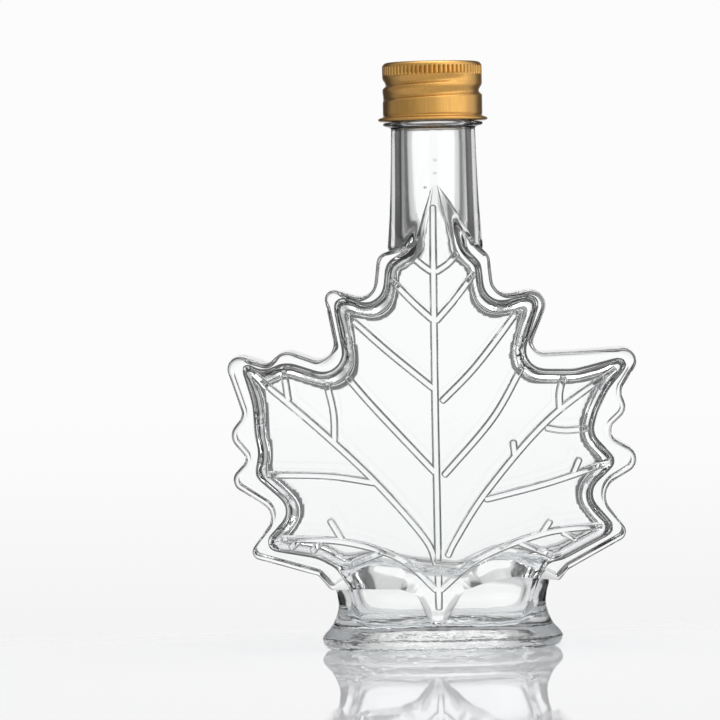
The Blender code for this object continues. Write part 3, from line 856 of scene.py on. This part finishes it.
# %% Give the bottle its glass
WAVE_SIZE = 9.0               # millimetres from one wave of the skin to the next
WAVE_HEIGHT = 0.02
STREAK_SIZE = (3.0, 1.5, 0.8)         # across, deep and high
STREAK_HEIGHT = 0.15
STREAKS_UP_TO = (2.5, 7.0)            # they fade out between these heights
GLASS_COLOUR = "#FEFFFF"              # all but colourless: clear bottle glass holds hardly any iron
GLASS_IOR = 1.52                      # soda-lime glass: how far an edge bends the light
SHADOW_COLOUR = "#F4F6F6"             # what the glass leaves of the lamp's light

glass, tree, output = material("moulded_soda_lime_glass")
coordinates = add(tree, "ShaderNodeTexCoord")
waves = add(
    tree, "ShaderNodeTexNoise", {"Scale": 1 / (WAVE_SIZE * MM), "Detail": 1.0},
    {"Vector": coordinates.outputs["Object"]},
)
streak_map = add(
    tree, "ShaderNodeMapping",
    {"Scale": [1 / (size * MM) for size in STREAK_SIZE]},
    {"Vector": coordinates.outputs["Object"]},
)
streaks = add(
    tree, "ShaderNodeTexNoise", {"Scale": 1.0, "Detail": 2.0},
    {"Vector": streak_map.outputs["Vector"]},
)
place_of = add(tree, "ShaderNodeSeparateXYZ", {}, {"Vector": coordinates.outputs["Object"]})
low = add(
    tree, "ShaderNodeMapRange",
    {"From Min": STREAKS_UP_TO[0] * MM, "From Max": STREAKS_UP_TO[1] * MM,
     "To Min": STREAK_HEIGHT / WAVE_HEIGHT, "To Max": 0.0},
    {"Value": place_of.outputs["Z"]},
)
height = add(
    tree, "ShaderNodeMath", {},
    {0: streaks.outputs["Fac"], 1: low.outputs["Result"], 2: waves.outputs["Fac"]},
    operation="MULTIPLY_ADD",
)
skin = add(
    tree, "ShaderNodeBump", {"Strength": 1.0, "Distance": WAVE_HEIGHT * MM},
    {"Height": height.outputs["Value"]},
)
clear = add(
    tree, "ShaderNodeBsdfPrincipled",
    {"Base Color": linear(GLASS_COLOUR), "Roughness": 0.0, "IOR": GLASS_IOR,
     "Transmission Weight": 1.0},
    {"Normal": skin.outputs["Normal"]},
)
through = add(tree, "ShaderNodeBsdfTransparent", {"Color": linear(SHADOW_COLOUR)})
path = add(tree, "ShaderNodeLightPath")
mix = add(
    tree, "ShaderNodeMixShader", {},
    {0: path.outputs["Is Shadow Ray"], 1: clear.outputs[0], 2: through.outputs[0]},
)
tree.links.new(mix.outputs[0], output.inputs["Surface"])

bottle.data.materials.clear()
bottle.data.materials.append(glass)
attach(bottle, "root")
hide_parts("bottle")
print(glass.name, "has", len(tree.nodes), "nodes")

# %% [markdown]
# # Gold anodised aluminium
#
# The cap's gold is a dye in the anodised skin of bright aluminium, so it is a metal with a
# deep yellow-brown colour and a satin shine. The skin itself is clear aluminium oxide, a coat
# that lays a paler shine over the gold. Drawing the cup leaves faint upright streaks, and
# handling leaves the shine a little uneven.

# %% Give the cap its gold
STREAK = 0.35                 # millimetres across, as coarse as it needs to be to show
STREAK_SQUEEZE = (1.0, 1.0, 0.06)     # what makes the streaks long and upright
STREAK_DEPTH = 0.01
CLOUD = 6.0
SHINE = (0.32, 0.4)           # roughness, from the shiniest cloud to the dullest
DARK_GOLD, LIGHT_GOLD = "#B58012", "#C7921A"
OXIDE_IOR = 1.77

gold, tree, output = material("gold_anodised_aluminium")
coordinates = add(tree, "ShaderNodeTexCoord")
streak_map = add(
    tree, "ShaderNodeMapping", {"Scale": STREAK_SQUEEZE},
    {"Vector": coordinates.outputs["Object"]},
)
streaks = add(
    tree, "ShaderNodeTexNoise", {"Scale": 1 / (STREAK * MM), "Detail": 2.0},
    {"Vector": streak_map.outputs["Vector"]},
)
clouds = add(
    tree, "ShaderNodeTexNoise", {"Scale": 1 / (CLOUD * MM), "Detail": 2.0},
    {"Vector": coordinates.outputs["Object"]},
)
shine = add(
    tree, "ShaderNodeMapRange",
    {"From Min": 0.3, "From Max": 0.7, "To Min": SHINE[0], "To Max": SHINE[1]},
    {"Value": clouds.outputs["Fac"]},
)
tint = add(tree, "ShaderNodeValToRGB", {}, {"Fac": streaks.outputs["Fac"]})
for stop, position, colour in zip(
        tint.color_ramp.elements, (0.25, 0.75), (DARK_GOLD, LIGHT_GOLD)):
    stop.position = position
    stop.color = linear(colour)
grain = add(
    tree, "ShaderNodeBump", {"Strength": 0.25, "Distance": STREAK_DEPTH * MM},
    {"Height": streaks.outputs["Fac"]},
)
metal = add(
    tree, "ShaderNodeBsdfPrincipled",
    {"Metallic": 1.0, "Coat Weight": 1.0, "Coat IOR": OXIDE_IOR, "Coat Roughness": 0.3},
    {"Base Color": tint.outputs["Color"], "Roughness": shine.outputs["Result"],
     "Normal": grain.outputs["Normal"]},
)
tree.links.new(metal.outputs[0], output.inputs["Surface"])

cap.data.materials.clear()
cap.data.materials.append(gold)
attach(cap, "root")
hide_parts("cap")
print(gold.name, "has", len(tree.nodes), "nodes")

# %% [markdown]
# # The floor
#
# The bottle stands on a glossy white sheet that mirrors its foot. The sheet fades out just
# behind it, so that no edge or horizon shows. What lies beyond is the bright screen, and the
# foot's lines get their contrast from it.

# %% Lay the floor
FLOOR_RADIUS = 1.4                    # metres
FADE_MIDDLE = (0.0, -0.6, 0.0)        # in front of the bottle, so that the fade starts behind it
FADE_START, FADE_END = 0.625, 0.67    # metres from there
SHEET_COLOUR = "#DEDEE0"              # as bright as the screen behind it under the lamp

bpy.ops.object.select_all(action="DESELECT")
bpy.ops.mesh.primitive_circle_add(vertices=96, radius=FLOOR_RADIUS, fill_type="NGON")
floor = bpy.context.object
floor.name = "studio_floor"
sheet, tree, output = material("white_acrylic_sheet")
coordinates = add(tree, "ShaderNodeTexCoord")
away = add(
    tree, "ShaderNodeVectorMath", {1: FADE_MIDDLE}, {0: coordinates.outputs["Object"]},
    operation="DISTANCE",
)
fade = add(
    tree, "ShaderNodeMapRange", {"From Min": FADE_START, "From Max": FADE_END},
    {"Value": away.outputs["Value"]}, interpolation_type="SMOOTHSTEP",
)
acrylic = add(
    tree, "ShaderNodeBsdfPrincipled",
    {"Base Color": linear(SHEET_COLOUR), "Roughness": 0.03, "IOR": 1.49},
)
nothing = add(tree, "ShaderNodeBsdfTransparent")
mix = add(
    tree, "ShaderNodeMixShader", {},
    {0: fade.outputs["Result"], 1: acrylic.outputs[0], 2: nothing.outputs[0]},
)
tree.links.new(mix.outputs[0], output.inputs["Surface"])
floor.data.materials.append(sheet)
floor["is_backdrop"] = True
print("the floor fades out over %.0f mm" % ((FADE_END - FADE_START) / MM))

# %% [markdown]
# # The screen behind the bottle
#
# Clear glass is seen only by what it bends and mirrors. A photographer puts a bright screen
# behind it and dark cards around the screen: the flat faces then stay white, and every edge
# that bends the light far enough picks up a dark line from a card. Here the world does this
# with a gradient on the angle away from straight behind the bottle.

# %% Light the studio from behind
SCREEN = [                    # degrees from straight behind the bottle, brightness
    (0, 0.973), (10.5, 0.973), (12.5, 0.62), (17, 0.55), (21, 0.07), (55, 0.07), (66, 0.95),
    (180, 0.95),
]

world = bpy.data.worlds.new("studio")
world.use_nodes = True
bpy.context.scene.world = world
tree = world.node_tree
tree.nodes.clear()
coordinates = add(tree, "ShaderNodeTexCoord")
direction = add(tree, "ShaderNodeSeparateXYZ", {}, {"Vector": coordinates.outputs["Generated"]})
half_way = add(
    tree, "ShaderNodeMapRange", {"From Min": -1.0, "From Max": 1.0},
    {"Value": direction.outputs["Y"]},
)
ramp = add(tree, "ShaderNodeValToRGB", {}, {"Fac": half_way.outputs["Result"]})
stops = ramp.color_ramp.elements
stops[0].position, stops[1].position = 0.0, 1.0
stops[0].color = [SCREEN[-1][1]] * 3 + [1.0]
stops[1].color = [SCREEN[0][1]] * 3 + [1.0]
for angle, brightness in SCREEN[1:-1]:
    stop = stops.new((1 + math.cos(math.radians(angle))) / 2)
    stop.color = [brightness] * 3 + [1.0]
print("the screen has", len(stops), "stops")

# %% [markdown]
# # The rest of the studio
#
# A satin cap is shaped by what stands in front of it. The left of the studio is darker, and a
# tall softbox stands at the right, which leaves a bright band down the cap's right half and a
# soft shade on its left. The screen is a little darker low down, where it meets the floor.

# %% Add a softbox and darker sides
LEFT_BRIGHTNESS = 0.5
LEFT_RANGE = (-0.9, -0.25)    # a direction's x, where it is darkest and where the shade ends
LOW_BRIGHTNESS = 0.925
LOW_RANGE = (-0.096, -0.044)  # a direction's z, likewise
SOFTBOX_DIRECTION = (0.77, -0.64, 0.0)
SOFTBOX_BRIGHTNESS = 0.9
SOFTBOX_RANGE = (0.72, 0.9)   # from its edge to full brightness, as the cosine to its middle
SOFTBOX_FLATTENING = 0.3      # heights count less, so the softbox is a tall strip

left_side = add(
    tree, "ShaderNodeMapRange",
    {"From Min": LEFT_RANGE[0], "From Max": LEFT_RANGE[1], "To Min": LEFT_BRIGHTNESS,
     "To Max": 1.0},
    {"Value": direction.outputs["X"]}, interpolation_type="SMOOTHSTEP",
)
low_down = add(
    tree, "ShaderNodeMapRange",
    {"From Min": LOW_RANGE[0], "From Max": LOW_RANGE[1], "To Min": LOW_BRIGHTNESS,
     "To Max": 1.0},
    {"Value": direction.outputs["Z"]},
)
flattened = add(
    tree, "ShaderNodeVectorMath", {1: (1.0, 1.0, SOFTBOX_FLATTENING)},
    {0: coordinates.outputs["Generated"]}, operation="MULTIPLY",
)
direction_across = add(
    tree, "ShaderNodeVectorMath", {}, {0: flattened.outputs["Vector"]}, operation="NORMALIZE",
)
towards_softbox = add(
    tree, "ShaderNodeVectorMath", {1: SOFTBOX_DIRECTION},
    {0: direction_across.outputs["Vector"]}, operation="DOT_PRODUCT",
)
softbox = add(
    tree, "ShaderNodeMapRange",
    {"From Min": SOFTBOX_RANGE[0], "From Max": SOFTBOX_RANGE[1], "To Min": 0.0,
     "To Max": SOFTBOX_BRIGHTNESS},
    {"Value": towards_softbox.outputs["Value"]}, interpolation_type="SMOOTHSTEP",
)
strength = add(
    tree, "ShaderNodeMath", {},
    {0: left_side.outputs["Result"], 1: low_down.outputs["Result"],
     2: softbox.outputs["Result"]},
    operation="MULTIPLY_ADD",
)
background = add(
    tree, "ShaderNodeBackground", {},
    {"Color": ramp.outputs["Color"], "Strength": strength.outputs["Value"]},
)
add(tree, "ShaderNodeOutputWorld", {}, {"Surface": background.outputs[0]})
print("the world has", len(tree.nodes), "nodes")

# %% [markdown]
# # A lamp above
#
# One large soft lamp above the bottle lights the floor sheet and the top of the cap. It is so
# wide that the bottle throws no hard shadow.

# %% Hang a lamp above the bottle
LAMP_PLACE = (0.1, 0.1, 1.2)  # metres
LAMP_SIZE, LAMP_POWER = 0.9, 6.0

data = bpy.data.lights.new("lamp_above", "AREA")
data.size, data.energy = LAMP_SIZE, LAMP_POWER
lamp = bpy.data.objects.new("lamp_above", data)
bpy.context.scene.collection.objects.link(lamp)
lamp.location = LAMP_PLACE
lamp.rotation_euler = (place(0, 0, 70) - lamp.location).to_track_quat("-Z", "Y").to_euler()
bpy.context.scene.view_settings.view_transform = "Standard"
print("the lamp is %.1f m above the floor" % LAMP_PLACE[2])

# %% [markdown]
# # Camera
#
# The photo was taken from about a metre away, just above the bottle's shoulders, with the
# picture turned by about a degree. The camera stands at that place and aims beside the
# bottle, because the bottle stands right of the middle of the frame.

# %% Set up the camera
FRAME_PIXELS = 720
PIXELS_PER_MM = 4.01
NECK_IN_FRAME = (434.9, 648.0)        # where the neck's axis meets the floor
CAMERA_DISTANCE = 1048.0
CAMERA_HEIGHT = 104.0
ROLL = math.radians(1.15)

data = bpy.data.cameras.new("camera")
data.sensor_width = 36.0
data.lens = PIXELS_PER_MM * CAMERA_DISTANCE * data.sensor_width / FRAME_PIXELS
data.clip_start, data.clip_end = 0.05, 50.0
camera = bpy.data.objects.new("camera", data)
bpy.context.scene.collection.objects.link(camera)
bpy.context.scene.camera = camera
camera.location = place(0, -CAMERA_DISTANCE, CAMERA_HEIGHT)
middle = FRAME_PIXELS / 2
right = middle - NECK_IN_FRAME[0]
down = middle - (NECK_IN_FRAME[1] - CAMERA_HEIGHT * PIXELS_PER_MM)
aim = place(
    (right * math.cos(ROLL) - down * math.sin(ROLL)) / PIXELS_PER_MM, 0,
    CAMERA_HEIGHT - (down * math.cos(ROLL) + right * math.sin(ROLL)) / PIXELS_PER_MM,
)
look = (aim - camera.location).to_track_quat("-Z", "Y")
camera.rotation_euler = (look @ Quaternion((0, 0, 1), -ROLL)).to_euler()
print("lens %.0f mm" % data.lens)

# %% [markdown]
# # The two sizes
#
# The finer pieces have to be as large as the CAD model that they stand in for. So the box
# around the model as it was loaded and the box around the finished bottle are both kept.

# %% Keep both boxes
visual_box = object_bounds()
boxes = {"cad": cad_box, "visual": visual_box}
for name, (lowest, highest) in boxes.items():
    size = (Vector(highest) - Vector(lowest)) / MM
    print("%s: %.1f x %.1f x %.1f mm" % (name, *size))
